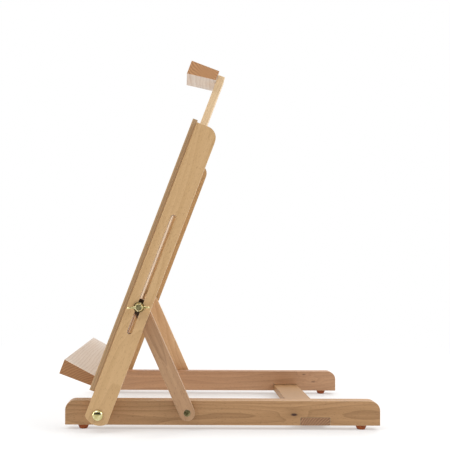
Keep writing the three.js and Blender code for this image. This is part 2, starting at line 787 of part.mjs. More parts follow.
for (const [side, sign] of Object.entries({ left: -1, right: 1 })) {
  const baseHalf = new THREE.Group();
  baseHalf.scale.x = sign;
  base.add(baseHalf);
  baseHalf.add(baseRail(`base_rail_${side}`));
  for (const [end, centre] of Object.entries(footCentres)) {
    const footMesh = foot(`foot_${end}_${side}`);
    const screwMesh = footScrewPiece(`foot_screw_${end}_${side}`);
    footMesh.position.set(railMiddle, railFrontY + centre, 0);
    screwMesh.position.set(railMiddle, railFrontY + centre, footScrewFace);
    baseHalf.add(footMesh, screwMesh);
  }
  const barScrew = piece(`cross_bar_screw_${side}`, facings.down(screw(woodScrew)), finishes.yellowZinc);
  barScrew.position.set(railMiddle, railFrontY + crossBarMiddle, footHeight);
  baseHalf.add(barScrew, strutScrew(`strut_screw_${side}`), strutWasher(`strut_washer_${side}`));

  const pivotGroup = new THREE.Group();
  pivotGroup.position.set(0, pivotY, pivotHeight);
  pivotGroup.add(pivotBolt(`pivot_bolt_${side}`), pivotSpacer(`pivot_spacer_${side}`));
  pivotGroup.add(pivotWasher(`pivot_washer_${side}`), pivotNut(`pivot_nut_${side}`));
  baseHalf.add(pivotGroup);

  const strutGroup = new THREE.Group();
  strutGroup.position.set(0, strutPivotY, pivotHeight);
  strutGroup.rotation.x = strutLean;
  strutGroup.add(strut(`strut_${side}`), strutBoltHead(`strut_bolt_head_${side}`));
  baseHalf.add(strutGroup);

  const frameHalf = new THREE.Group();
  frameHalf.scale.x = sign;
  tiltingFrame.add(frameHalf);
  frameHalf.add(upright(`upright_${side}`), mastGuide(`mast_guide_${side}`));
  frameHalf.add(keeperScrewPiece(`keeper_screw_${side}`), blockScrewPiece(`block_screw_${side}`));
  for (const [level, height] of Object.entries(panelScrewHeights)) {
    frameHalf.add(panelScrew(`panel_screw_${level}_${side}`, height));
  }

  const clampGroup = new THREE.Group();
  clampGroup.position.z = clampAlongUpright;
  clampGroup.add(clampBolt(`clamp_bolt_${side}`), clampWasher(`clamp_washer_${side}`));
  clampGroup.add(wingNut(`wing_nut_${side}`));
  frameHalf.add(clampGroup);
}

export default easel;
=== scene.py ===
import json
import math

import bmesh
import bpy
from mathutils import Euler, Matrix, Vector


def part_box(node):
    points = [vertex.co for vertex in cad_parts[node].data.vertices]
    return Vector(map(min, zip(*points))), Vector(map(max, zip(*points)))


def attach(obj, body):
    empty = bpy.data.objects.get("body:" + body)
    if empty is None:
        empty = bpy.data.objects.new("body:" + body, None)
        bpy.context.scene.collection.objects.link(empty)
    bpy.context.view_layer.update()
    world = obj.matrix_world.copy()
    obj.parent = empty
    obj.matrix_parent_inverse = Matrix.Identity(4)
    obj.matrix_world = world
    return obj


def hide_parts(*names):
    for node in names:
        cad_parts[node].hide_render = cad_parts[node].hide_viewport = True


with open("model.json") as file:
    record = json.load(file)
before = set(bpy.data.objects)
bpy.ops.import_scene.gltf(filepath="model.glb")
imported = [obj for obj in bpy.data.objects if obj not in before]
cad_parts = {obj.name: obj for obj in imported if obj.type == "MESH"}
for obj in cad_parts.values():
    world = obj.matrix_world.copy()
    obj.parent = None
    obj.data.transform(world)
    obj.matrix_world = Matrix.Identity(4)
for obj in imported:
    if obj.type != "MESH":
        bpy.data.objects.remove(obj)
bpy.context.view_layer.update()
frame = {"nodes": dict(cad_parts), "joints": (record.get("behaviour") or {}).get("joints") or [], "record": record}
nodes = frame["nodes"]
joints = {joint["name"]: joint for joint in frame["joints"]}
sides = {"left": -1, "right": 1}

# directions and places that the whole script shares, all taken from the frame
framePivot = Vector(joints["frame_tilt"]["pos_m"])
alongUpright = Vector(joints["clamp_slide_right"]["axis"]).normalized()
frontOfFrame = Vector((1, 0, 0)).cross(alongUpright)
strutPivot = Vector(joints["strut_fold_right"]["pos_m"])
clampPoint = Vector(joints["wing_nut_turn_right"]["pos_m"])
alongStrut = Vector((0, *(clampPoint - strutPivot)[1:])).normalized()
leanTurn = -math.atan2(alongUpright.y, alongUpright.z)
strutTurn = -math.atan2(alongStrut.y, alongStrut.z)
print("frame loaded:", len(nodes), "nodes")


# camera, placed from the frame's pivot and the near rail
cameraSettings = {
    "fromRail": 0.939,       # from the near rail's outer face
    "behindPivot": 0.1058,
    "abovePivot": 0.1828,
    "lens": 57.78,
    "shift": (0.0956, 0.1022),
    "roll": 0.22,            # degrees
    "sensor": 36,
}


def makeCamera(settings):
    data = bpy.data.cameras.new("camera")
    data.lens = settings["lens"]
    data.sensor_width = settings["sensor"]
    data.shift_x, data.shift_y = settings["shift"]
    camera = bpy.data.objects.new("camera", data)
    bpy.context.scene.collection.objects.link(camera)
    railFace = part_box("base_rail_right")[1].x
    camera.location = (railFace + settings["fromRail"],
                       framePivot.y + settings["behindPivot"],
                       framePivot.z + settings["abovePivot"])
    level = Matrix.Rotation(math.pi / 2, 4, "Z") @ Matrix.Rotation(math.pi / 2, 4, "X")
    camera.rotation_euler = (level @ Matrix.Rotation(math.radians(settings["roll"]), 4, "Z")).to_euler()
    bpy.context.scene.camera = camera


makeCamera(cameraSettings)
bpy.context.scene.view_settings.view_transform = "Standard"


# shader maths: a wire is a node's output, and arithmetic on wires adds Math nodes
class Wire:
    def __init__(self, tree, socket):
        self.tree = tree
        self.socket = socket

    def math(self, operation, *values):
        return self.tree.add("ShaderNodeMath", {"operation": operation}, dict(enumerate(values)))

    def __add__(self, other):
        return self.math("ADD", self, other)

    __radd__ = __add__

    def __sub__(self, other):
        return self.math("SUBTRACT", self, other)

    def __rsub__(self, other):
        return self.math("SUBTRACT", other, self)

    def __mul__(self, other):
        return self.math("MULTIPLY", self, other)

    __rmul__ = __mul__

    def __truediv__(self, other):
        return self.math("DIVIDE", self, other)

    def __rtruediv__(self, other):
        return self.math("DIVIDE", other, self)

    def __pow__(self, power):
        return self.math("POWER", self, power)

    def clamped(self):
        return self.math("MINIMUM", self.math("MAXIMUM", self, 0.0), 1.0)

    def fraction(self):
        return self.math("FRACT", self)

    def size(self):
        return self.math("ABSOLUTE", self)

    def step(self, low, high):
        # 0 below low, 1 above high, smooth between
        return self.tree.add("ShaderNodeMapRange", {"interpolation_type": "SMOOTHSTEP"},
                             {"Value": self, "From Min": low, "From Max": high})


class Tree:
    def __init__(self, owner):
        owner.use_nodes = True
        self.nodes = owner.node_tree.nodes
        self.links = owner.node_tree.links
        self.nodes.clear()

    def add(self, kind, settings=None, sockets=None, output=0):
        node = self.nodes.new(kind)
        for name, value in (settings or {}).items():
            setattr(node, name, value)
        for name, value in (sockets or {}).items():
            if isinstance(value, Wire):
                self.links.new(value.socket, node.inputs[name])
            else:
                node.inputs[name].default_value = value
        return Wire(self, node.outputs[output]) if node.outputs else node

    def noise(self, vector, scale, detail=3.0, rough=0.55):
        return self.add("ShaderNodeTexNoise", None,
                        {"Vector": vector, "Scale": scale, "Detail": detail, "Roughness": rough})

    def grain(self, vector, factors, detail, rough=0.55):
        # noise stretched by a factor per axis
        return self.noise(self.scaled(vector, factors), 1.0, detail, rough)

    def mix(self, share, a, b):
        return self.add("ShaderNodeMix", {"data_type": "RGBA"}, {0: share, 6: a, 7: b}, output=2)

    def dot(self, a, b):
        return self.add("ShaderNodeVectorMath", {"operation": "DOT_PRODUCT"}, {0: a, 1: b}, output=1)

    def length(self, vector):
        return self.add("ShaderNodeVectorMath", {"operation": "LENGTH"}, {0: vector}, output=1)

    def scaled(self, vector, factors):
        return self.add("ShaderNodeVectorMath", {"operation": "MULTIPLY"}, {0: vector, 1: factors})

    def moved(self, vector, shift):
        return self.add("ShaderNodeVectorMath", {"operation": "ADD"}, {0: vector, 1: shift})


def newMaterial(name):
    material = bpy.data.materials.new(name)
    return material, Tree(material)


def rgba(hexCode):
    # display colour to the linear one that shaders take
    parts = [int(hexCode[i:i + 2], 16) / 255 for i in (0, 2, 4)]
    return (*[p / 12.92 if p <= 0.04045 else ((p + 0.055) / 1.055) ** 2.4 for p in parts], 1)


# studio: a pale floor that fades into a white backdrop, and four soft lamps
studioSettings = {
    "backdrop": (1.0, 1.0, 1.0, 1),
    "floor": (0.86, 0.86, 0.86, 1),
    "skyTop": 1.15,
    "skySide": 0.6,
    "skyFade": (-0.2, 0.9),
    "flagHeights": (0.05, 0.6),  # a black flag on the right, from and to these heights
    "flagSoftness": (0.06, 0.08),
    "flagSide": (0.3, 0.6),
    "flagDepth": 0.97,
    "shadowLift": 0.4,
    "fade": (0.42, 1.1),         # distances at which the floor turns into backdrop
    "floorRadius": 6,
    "floorSides": 96,
    "aimHeight": 0.22,
}
lampSettings = {
    "key": {"place": (1.2, -1.2, 2.2), "size": 1.1, "power": 14},
    "fill": {"place": (0.9, 2.0, 1.1), "size": 1.4, "power": 20},
    "front": {"place": (0.1, -2.0, 0.5), "size": 1.2, "power": 16},
    "back": {"place": (-1.4, 1.2, 1.6), "size": 1.2, "power": 14},
}


def makeStudio(settings, lamps):
    world = bpy.data.worlds.new("studio")
    bpy.context.scene.world = world
    tree = Tree(world)
    direction = tree.add("ShaderNodeTexCoord", None, None, output=0)
    height = tree.dot(direction, (0, 0, 1))
    sky = height.step(*settings["skyFade"]) * (settings["skyTop"] - settings["skySide"]) + settings["skySide"]
    low, high = settings["flagHeights"]
    lowSoftness, highSoftness = settings["flagSoftness"]
    rightward = tree.dot(direction, (1, 0, 0)).step(*settings["flagSide"])
    flag = rightward * height.step(low, low + lowSoftness) * (1 - height.step(high, high + highSoftness))
    sky = sky * (1 - settings["flagDepth"] * flag)
    cameraRay = tree.add("ShaderNodeLightPath")
    strength = cameraRay + (1 - cameraRay) * sky
    background = tree.add("ShaderNodeBackground", None,
                          {"Color": settings["backdrop"], "Strength": strength})
    tree.add("ShaderNodeOutputWorld", None, {"Surface": background})

    floorMesh = bpy.data.meshes.new("floor")
    shape = bmesh.new()
    bmesh.ops.create_circle(shape, cap_ends=True, segments=settings["floorSides"],
                            radius=settings["floorRadius"])
    shape.to_mesh(floorMesh)
    shape.free()
    floor = bpy.data.objects.new("floor", floorMesh)
    bpy.context.scene.collection.objects.link(floor)
    material, tree = newMaterial("palePaper")
    place = tree.add("ShaderNodeTexCoord", None, None, output=3)
    distance = tree.length(place)
    lift = settings["shadowLift"]
    paper = tree.add("ShaderNodeBsdfDiffuse", None, {"Color": settings["floor"]})
    glow = tree.add("ShaderNodeEmission", None, {"Color": settings["backdrop"]})
    surface = tree.add("ShaderNodeMixShader", None,
                       {0: lift + (1 - lift) * distance.step(*settings["fade"]),
                        1: paper, 2: glow})
    tree.add("ShaderNodeOutputMaterial", None, {"Surface": surface})
    floorMesh.materials.append(material)

    for name, lamp in lamps.items():
        data = bpy.data.lights.new(name, "AREA")
        data.size = lamp["size"]
        data.energy = lamp["power"]
        light = bpy.data.objects.new(name, data)
        bpy.context.scene.collection.objects.link(light)
        light.location = lamp["place"]
        towards = Vector((0, 0, settings["aimHeight"])) - light.location
        light.rotation_euler = towards.to_track_quat("-Z", "Y").to_euler()


makeStudio(studioSettings, lampSettings)
print("studio made")


# wood
# The grain is solid: rings round a pith that runs along the piece, so faces show streaks and ends show arcs.
woodLooks = {
    "paleBeech": {"light": "d6b182", "dark": "bd9663", "line": "966c41", "ringGap": 0.0032,
                  "streaks": 0.55, "rings": 0.12, "flecks": 0.4, "endLight": "b8946b", "endDark": "94704a"},
    "mastBeech": {"light": "f0d4ab", "dark": "dbbb92", "line": "ab8457", "ringGap": 0.0032,
                  "streaks": 0.45, "rings": 0.15, "flecks": 0.35, "endLight": "c9a57c", "endDark": "a67f57"},
    "warmBeech": {"light": "c2976a", "dark": "966e43", "line": "694628", "ringGap": 0.0044,
                  "streaks": 0.8, "rings": 0.28, "flecks": 0.4, "endLight": "946d49", "endDark": "694529"},
    "barBeech": {"light": "c09a70", "dark": "9c764c", "line": "7d5731", "ringGap": 0.0029, "wander": 0.6,
                 "streaks": 0.7, "rings": 0.25, "flecks": 0.35, "endLight": "c2936a", "endDark": "50301a"},
    "pinkBeech": {"light": "c69f79", "dark": "9e7653", "line": "785438", "ringGap": 0.003,
                  "streaks": 0.85, "rings": 0.25, "flecks": 0.4, "endLight": "ab8563", "endDark": "835f43"},
    "redBeech": {"light": "cfa37d", "dark": "a57a59", "line": "784f33", "ringGap": 0.0065, "knot": 0.5,
                 "streaks": 0.8, "rings": 0.08, "flecks": 0.35, "endLight": "a2764f", "endDark": "765034"},
    # the far strut's beech, made paler than the near strut's: partly its own tone, partly painted light where it
    # stands in shade
    "amberBeech": {"light": "efcfa6", "dark": "d0a67a", "line": "9c6f47", "ringGap": 0.0036,
                   "streaks": 0.5, "rings": 0.15, "flecks": 0.3, "endLight": "b98c62", "endDark": "91693f"},
    "creamBeech": {"light": "dcd4ca", "dark": "c4b0a0", "line": "a08872", "ringGap": 0.0034,
                   "streaks": 0.5, "rings": 0.5, "flecks": 0.5, "endLight": "d09f70", "endDark": "9d6c46"},
    "trayBeech": {"light": "e0d9d1", "dark": "c8b8aa", "line": "a58e7b", "ringGap": 0.0030, "wander": 5,
                  "streaks": 0.5, "rings": 0.5, "flecks": 0.5, "endLight": "ae7e50", "endDark": "90603a"},
}
# how every wood is drawn: noise factors per metre across, across and along the grain, and each layer's share
grainSettings = {
    "shift": (3.7, 1.9, 5.3),    # times the seed, so that no two pieces share their grain
    "wander": (9, 9, 2.2),
    "ripple": (60, 60, 7),
    "wide": (38, 38, 1.6),
    "streak": (260, 260, 7),
    "fibre": (1500, 1500, 42),
    "fleck": (1100, 1100, 260),
    "fleckRange": (0.6, 0.72),
    "wanderRings": 14,           # for a look that doesn't say
    "rippleRings": 1.2,
    "knotShape": (0.4, 0.42, 1),
    "knotRings": 1.3,
    "knotReach": 5,              # radii over which the rings bend round a knot
    "knotCore": 0.35,
    "knotColour": "38170a",
    "latePower": 5,
    "lateEnd": (0.96, 1.0),
    "wideShare": 1.1,
    "fibreShare": 0.3,
    "sawShare": 0.22,
    "endRange": (0.6, 0.9),
    "endSaw": (0.1, 0.9),
    "endBands": 0.75,            # the rest of the end's pattern is streaks
    # painted shade round the strut's clamp bolt: its share, the core's share of the radius, and its colour
    "wornShare": 0.8,
    "wornCore": 0.7,
    "wornColour": "46301f",
    # painted highlight on the eased arrises: its share, the ranges of the normal's X part where it rises and
    # falls, and its colour
    "rubbed": 0.5,
    "rubbedFrom": (0.12, 0.35),
    "rubbedTo": (0.92, 0.99),
    "rubbedColour": "edd3b2",
    "relief": {"fibre": 0.5, "streak": 0.3, "late": -0.35, "fleck": -0.5},
    "bump": {"Strength": 0.12, "Distance": 0.0006},
    "roughness": {"base": 0.42, "fibre": 0.16, "fleck": 0.1},
    "gloss": {"Specular IOR Level": 0.42, "Coat Weight": 0.12, "Coat Roughness": 0.35},
}


def makeWood(name, look, settings, turn, origin, pith, seed, knots, shadeSpot=None):
    material, tree = newMaterial(name)
    place = tree.add("ShaderNodeTexCoord", None, None, output=3)
    facing = tree.add("ShaderNodeTexCoord", None, None, output=1)
    local = tree.add("ShaderNodeMapping", {"vector_type": "TEXTURE"},
                     {"Vector": place, "Location": origin, "Rotation": turn})
    grainAxis = Matrix.LocRotScale(None, Euler(turn), None) @ Vector((0, 0, 1))
    shifted = tree.moved(local, tuple(seed * share for share in settings["shift"]))

    # slow wander of the grain, stretched along the piece
    wander = tree.grain(shifted, settings["wander"], 2.0)
    ripple = tree.grain(shifted, settings["ripple"], 2.0)
    across = tree.scaled(tree.moved(local, (-pith[0], -pith[1], 0)), (1, 1, 0))
    distance = tree.length(across)
    rings = distance / look["ringGap"] + (wander - 0.5) * look.get("wander", settings["wanderRings"])
    rings = rings + (ripple - 0.5) * settings["rippleRings"]
    knotMask = None
    for spot, radius in knots:
        near = tree.scaled(tree.moved(place, tuple(-spot)), settings["knotShape"])
        gap = tree.length(near)
        rings = rings + settings["knotRings"] * (1 - gap.step(0, radius * settings["knotReach"]))
        here = 1 - gap.step(radius * settings["knotCore"], radius)
        knotMask = here if knotMask is None else knotMask + here
    saw = rings.fraction()
    lateWood = saw ** settings["latePower"] * (1 - saw.step(*settings["lateEnd"]))
    wide = tree.grain(shifted, settings["wide"], 3.0)
    streak = tree.grain(shifted, settings["streak"], 3.0, 0.6)
    fibre = tree.grain(shifted, settings["fibre"], 2.0, 0.6)
    fleck = tree.grain(shifted, settings["fleck"], 1.0).step(*settings["fleckRange"])

    tone = (wide - 0.5) * settings["wideShare"] + (streak - 0.5) * look["streaks"]
    tone = tone + (fibre - 0.5) * settings["fibreShare"] + 0.5 + (saw - 0.5) * settings["sawShare"]
    colour = tree.mix(tone.clamped(),
                      rgba(look["light"]), rgba(look["dark"]))
    colour = tree.mix(lateWood * look["rings"], colour, rgba(look["line"]))
    colour = tree.mix(fleck * look["flecks"], colour, rgba(look["line"]))
    if knotMask is not None:
        colour = tree.mix(knotMask * look.get("knot", 1.0), colour, rgba(settings["knotColour"]))
    endFace = tree.dot(facing, tuple(grainAxis))
    endMask = endFace.size().step(*settings["endRange"])
    band = saw.step(*settings["endSaw"]) * settings["endBands"] + (1 - settings["endBands"]) * streak
    colour = tree.mix(endMask, colour, tree.mix(band, rgba(look["endLight"]), rgba(look["endDark"])))

    # painted shade: a dark patch on the strut's face round the clamp bolt
    if shadeSpot:
        spot, radius = shadeSpot
        gap = tree.add("ShaderNodeVectorMath", {"operation": "DISTANCE"}, {0: place, 1: spot}, output=1)
        share = settings["wornShare"] * (1 - gap.step(radius * settings["wornCore"], radius))
        colour = tree.mix(share, colour, rgba(settings["wornColour"]))

    # the eased arrises beside the faces that look along X are painted a little paler: a painted highlight
    sideways = tree.dot(facing, (1, 0, 0))
    sideways = sideways.size()
    arris = sideways.step(*settings["rubbedFrom"]) * (1 - sideways.step(*settings["rubbedTo"]))
    colour = tree.mix(arris * settings["rubbed"], colour, rgba(settings["rubbedColour"]))

    relief, rough = settings["relief"], settings["roughness"]
    height = fibre * relief["fibre"] + streak * relief["streak"] + lateWood * relief["late"]
    height = height + fleck * relief["fleck"]
    bump = tree.add("ShaderNodeBump", None, {**settings["bump"], "Height": height})
    roughness = rough["base"] + rough["fibre"] * fibre + rough["fleck"] * fleck
    shader = tree.add("ShaderNodeBsdfPrincipled", None, {
        "Base Color": colour, "Roughness": roughness, "Normal": bump, **settings["gloss"]})
    tree.add("ShaderNodeOutputMaterial", None, {"Surface": shader})
    return material


# layers across the edge, and the face veneer's grain up the board
plywoodSettings = {
    "face": "d9b98c",
    "faceDark": "c09a6a",
    "edgeLight": "bf9f76",
    "edgeDark": "94755a",
    "fleckColour": "8f6a45",
    "glueColour": "5f4731",
    "layers": 5,
    "wander": (5, 5, 1.4),
    "wide": (16, 40, 1.1),
    "flame": (34, 34, 1.2),
    "flameRings": 9,
    "wanderRings": 4,
    "streak": (240, 240, 5),
    "fibre": (1400, 1400, 40),
    "fleck": (1000, 1000, 300),
    "grit": (900, 900, 900),
    "fleckRange": (0.6, 0.72),
    "tone": {"wide": 1.2, "streak": 0.6, "fibre": 0.3, "saw": 0.25, "base": 0.45},
    "fleckShare": 0.3,
    "glueRange": (0.38, 0.48),   # how far from a layer's middle its glue line lies
    "glueShare": 0.22,
    "oddRange": (0.45, 0.55),    # every other layer is end grain
    "oddShare": 0.4,
    "gritShare": 0.15,
    "faceRange": (0.6, 0.85),
    "relief": {"fibre": 0.6, "fleck": -0.5, "grit": 0.2},
    "bump": {"Strength": 0.12, "Distance": 0.0005},
    "roughness": {"base": 0.45, "fibre": 0.15},
    "gloss": {"Specular IOR Level": 0.4, "Coat Weight": 0.1, "Coat Roughness": 0.35},
}


def makePlywood(name, settings, origin, thickness):
    material, tree = newMaterial(name)
    place = tree.add("ShaderNodeTexCoord", None, None, output=3)
    facing = tree.add("ShaderNodeTexCoord", None, None, output=1)
    local = tree.add("ShaderNodeMapping", {"vector_type": "TEXTURE"},
                     {"Vector": place, "Location": origin, "Rotation": (leanTurn, 0, 0)})
    depth = tree.add("ShaderNodeSeparateXYZ", None, {0: local}, output=1)
    wander = tree.grain(local, settings["wander"], 3.0)
    wide = tree.grain(local, settings["wide"], 3.0)
    flame = tree.grain(local, settings["flame"], 1.5) * settings["flameRings"]
    flame = flame + wander * settings["wanderRings"]
    saw = flame.fraction()
    streak = tree.grain(local, settings["streak"], 3.0, 0.6)
    fibre = tree.grain(local, settings["fibre"], 2.0, 0.6)
    fleck = tree.grain(local, settings["fleck"], 1.0).step(*settings["fleckRange"])
    share = settings["tone"]
    tone = (wide - 0.5) * share["wide"] + (streak - 0.5) * share["streak"] + (fibre - 0.5) * share["fibre"]
    tone = tone + (saw - 0.5) * share["saw"] + share["base"]
    face = tree.mix(tone.clamped(),
                    rgba(settings["face"]), rgba(settings["faceDark"]))
    face = tree.mix(fleck * settings["fleckShare"], face, rgba(settings["fleckColour"]))
    layer = depth * (settings["layers"] / thickness)
    band = layer.fraction() - 0.5
    glueLine = band.size().step(*settings["glueRange"])
    odd = (layer * 0.5).fraction().step(*settings["oddRange"])
    grit = tree.grain(local, settings["grit"], 2.0)
    odds = odd * settings["oddShare"] + grit * settings["gritShare"]
    edge = tree.mix(odds, rgba(settings["edgeLight"]), rgba(settings["edgeDark"]))
    edge = tree.mix(glueLine * settings["glueShare"], edge, rgba(settings["glueColour"]))
    front = tree.dot(facing, tuple(frontOfFrame))
    faceMask = front.size().step(*settings["faceRange"])
    colour = tree.mix(faceMask, edge, face)
    relief, rough = settings["relief"], settings["roughness"]
    height = fibre * relief["fibre"] + fleck * relief["fleck"] + grit * relief["grit"]
    bump = tree.add("ShaderNodeBump", None, {**settings["bump"], "Height": height})
    shader = tree.add("ShaderNodeBsdfPrincipled", None, {
        "Base Color": colour, "Roughness": rough["base"] + rough["fibre"] * fibre, "Normal": bump,
        **settings["gloss"]})
    tree.add("ShaderNodeOutputMaterial", None, {"Surface": shader})
    return material


# metal, rubber and nylon
metalLooks = {
    "yellowZinc": {"light": "e6dcab", "dark": "b3a468", "tint": "c9b98c", "roughness": 0.2, "spread": 0.14},
    "domeZinc": {"light": "e3dcab", "dark": "b9ae72", "tint": "d8cbaa", "roughness": 0.14, "spread": 0.1},
    "agedZinc": {"light": "988f68", "dark": "5e563a", "tint": "7a724e", "roughness": 0.24, "spread": 0.2},
    "castZinc": {"light": "f0e6b8", "dark": "cdbf84", "tint": "ddd09a", "roughness": 0.2, "spread": 0.12},
    # a darker zinc for the clamp washers: its darkness is painted shade under the wing nut's hub
    "washerZinc": {"light": "7b7148", "dark": "443d24", "tint": "5c5434", "roughness": 0.3, "spread": 0.2},
    "greySteel": {"light": "c9c9c6", "dark": "8e8e8b", "tint": "a5a5a0", "roughness": 0.28, "spread": 0.15},
}
metalSettings = {
    "cloud": 160,
    "blotch": 520,
    "scratch": (900, 5200, 900),
    "cloudRange": (0.35, 0.65),
    "blotchRange": (0.5, 0.7),
    "blotchShare": 0.5,
    "scratchRoughness": 0.06,
    "bump": {"Strength": 0.05, "Distance": 0.0002},
}
mouldedLooks = {
    "footRubber": {"light": "a8551f", "dark": "843f18", "roughness": 0.6, "grain": 0.25},
    "blackNylon": {"light": "2f2d2b", "dark": "1f1e1c", "roughness": 0.38, "grain": 0.2},
}
mouldedSettings = {
    "cloud": 240,
    "pebble": 2600,
    "cloudRange": (0.3, 0.7),
    "pebbleRange": (0.55, 0.75),
    "pebbleShare": 0.3,
    "pebbleRoughness": 0.12,
    "bumpDistance": 0.0003,
    "specular": 0.4,
}


def makeMetal(name, look, settings):
    material, tree = newMaterial(name)
    place = tree.add("ShaderNodeTexCoord", None, None, output=3)
    cloud = tree.noise(place, settings["cloud"], 3.0)
    blotch = tree.noise(place, settings["blotch"], 2.0)
    scratch = tree.grain(place, settings["scratch"], 2.0)
    colour = tree.mix(cloud.step(*settings["cloudRange"]), rgba(look["light"]), rgba(look["dark"]))
    share = blotch.step(*settings["blotchRange"]) * settings["blotchShare"]
    colour = tree.mix(share, colour, rgba(look["tint"]))
    roughness = look["roughness"] + look["spread"] * blotch + settings["scratchRoughness"] * scratch
    bump = tree.add("ShaderNodeBump", None, {**settings["bump"], "Height": scratch + blotch})
    shader = tree.add("ShaderNodeBsdfPrincipled", None, {
        "Base Color": colour, "Metallic": 1.0, "Roughness": roughness, "Normal": bump})
    tree.add("ShaderNodeOutputMaterial", None, {"Surface": shader})
    return material


def makeMoulded(name, look, settings):
    material, tree = newMaterial(name)
    place = tree.add("ShaderNodeTexCoord", None, None, output=3)
    cloud = tree.noise(place, settings["cloud"], 3.0)
    pebble = tree.noise(place, settings["pebble"], 2.0)
    colour = tree.mix(cloud.step(*settings["cloudRange"]), rgba(look["light"]), rgba(look["dark"]))
    share = pebble.step(*settings["pebbleRange"]) * settings["pebbleShare"]
    colour = tree.mix(share, colour, rgba(look["dark"]))
    bump = tree.add("ShaderNodeBump", None,
                    {"Strength": look["grain"], "Distance": settings["bumpDistance"], "Height": pebble})
    roughness = look["roughness"] + settings["pebbleRoughness"] * pebble
    shader = tree.add("ShaderNodeBsdfPrincipled", None, {
        "Base Color": colour, "Roughness": roughness, "Normal": bump,
        "Specular IOR Level": settings["specular"]})
    tree.add("ShaderNodeOutputMaterial", None, {"Surface": shader})
    return material


metals = {name: makeMetal(name, look, metalSettings) for name, look in metalLooks.items()}
moulded = {name: makeMoulded(name, look, mouldedSettings) for name, look in mouldedLooks.items()}
print("metals, rubber and nylon made")

recordSlots = {row["node"]: row["material_slot"] for row in frame["record"]["subparts"]}

# hardware: each piece is worked out from its CAD node and stands in for it
sharpAngle = math.radians(38)
mergeDistance = 1e-6
weldDistance = 2e-5
sameHeight = 1e-5
sameRadius = 2e-5
shankShare = 0.6         # points deeper than this share of the length are on the shank
bodyOf = {node: body for body, held in frame["record"]["behaviour"]["bodies"].items() for node in held}


def standIn(name, node, mesh, material):
    mesh.materials.clear()
    mesh.materials.append(material)
    mesh.shade_smooth()
    mesh.set_sharp_from_angle(angle=sharpAngle)
    piece = bpy.data.objects.new(name, mesh)
    bpy.context.scene.collection.objects.link(piece)
    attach(piece, bodyOf[node])
    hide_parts(node)
    return piece


def addLathe(shape, profile, sides, place=None):
    # a turned surface round +Z from points of (height, radius), then moved by the matrix place
    place = place or Matrix.Identity(4)
    rows = []
    for height, radius in profile:
        count = sides if radius > 0 else 1
        turns = [2 * math.pi * i / sides for i in range(count)]
        rows.append([shape.verts.new(place @ Vector((radius * math.cos(a), radius * math.sin(a), height)))
                     for a in turns])
    for lower, upper in zip(rows, rows[1:]):
        for i in range(sides):
            j = (i + 1) % sides
            if len(lower) == 1:
                shape.faces.new((lower[0], upper[j], upper[i]))
            elif len(upper) == 1:
                shape.faces.new((lower[i], lower[j], upper[0]))
            else:
                shape.faces.new((lower[i], lower[j], upper[j], upper[i]))


def addPrism(shape, outline, low, high, place=None):
    # an outline of (across, up) made solid between two depths along Z, then moved
    place = place or Matrix.Identity(4)
    rows = [[shape.verts.new(place @ Vector((*point, depth))) for point in outline] for depth in (low, high)]
    shape.faces.new(list(reversed(rows[0])))
    shape.faces.new(rows[1])
    for i in range(len(outline)):
        j = (i + 1) % len(outline)
        shape.faces.new((rows[0][i], rows[0][j], rows[1][j], rows[1][i]))


def finished(shape, name):
    bmesh.ops.remove_doubles(shape, verts=shape.verts, dist=mergeDistance)
    bmesh.ops.recalc_face_normals(shape, faces=shape.faces)
    mesh = bpy.data.meshes.new(name)
    shape.to_mesh(mesh)
    shape.free()
    return mesh


def applied(mesh, addModifiers):
    # the mesh after a few modifiers, as plain geometry
    carrier = bpy.data.objects.new("carrier", mesh)
    bpy.context.scene.collection.objects.link(carrier)
    addModifiers(carrier)
    bpy.context.view_layer.update()
    made = bpy.data.meshes.new_from_object(carrier.evaluated_get(bpy.context.evaluated_depsgraph_get()))
    bpy.data.objects.remove(carrier)
    return made


def turnedMeasure(node, axis):
    # where a turned node stands: the middle of its end face, its length, and (height, radius) of its points
    points = [vertex.co for vertex in nodes[node].data.vertices]
    heights = [point.dot(axis) for point in points]
    top, bottom = max(heights), min(heights)
    face = [point for point, height in zip(points, heights) if top - height < sameHeight]
    spots = {tuple(round(value, 6) for value in point) for point in face}
    centre = sum((Vector(spot) for spot in spots), Vector()) / len(spots)
    rim = [(height - top, (point - centre - axis * (height - top)).length)
           for point, height in zip(points, heights)]
    return centre, top - bottom, rim


def facingMatrix(centre, axis, spin=0.0):
    turn = axis.to_track_quat("Z", "Y").to_matrix().to_4x4()
    return Matrix.Translation(centre) @ turn @ Matrix.Rotation(spin, 4, "Z")


# wood screws: countersunk head with a cross recess, a plain neck and a coarse thread
screwSettings = {
    "crossSpan": 0.62,        # of the head's diameter
    "crossWidth": 0.17,
    "crossDepth": 0.62,       # of the head's depth
    "pitch": 0.0013,
    "threadDepth": 0.14,      # of the shank's radius
    "threadShare": 0.62,      # of the length
    "sides": 28,
    "edge": 0.00012,          # the eased rim of the head
    "neck": 0.96,             # of the shank's radius, above the thread
    "crown": 0.55,            # of a pan head's depth
    "crossFloor": 0.42,       # of the cross's span
    "crossAbove": 0.0003,     # how far the cutter stands out of the head
    "firstSpin": 0.35,
    "spinStep": 0.9,          # each screw is left at its own turn
}


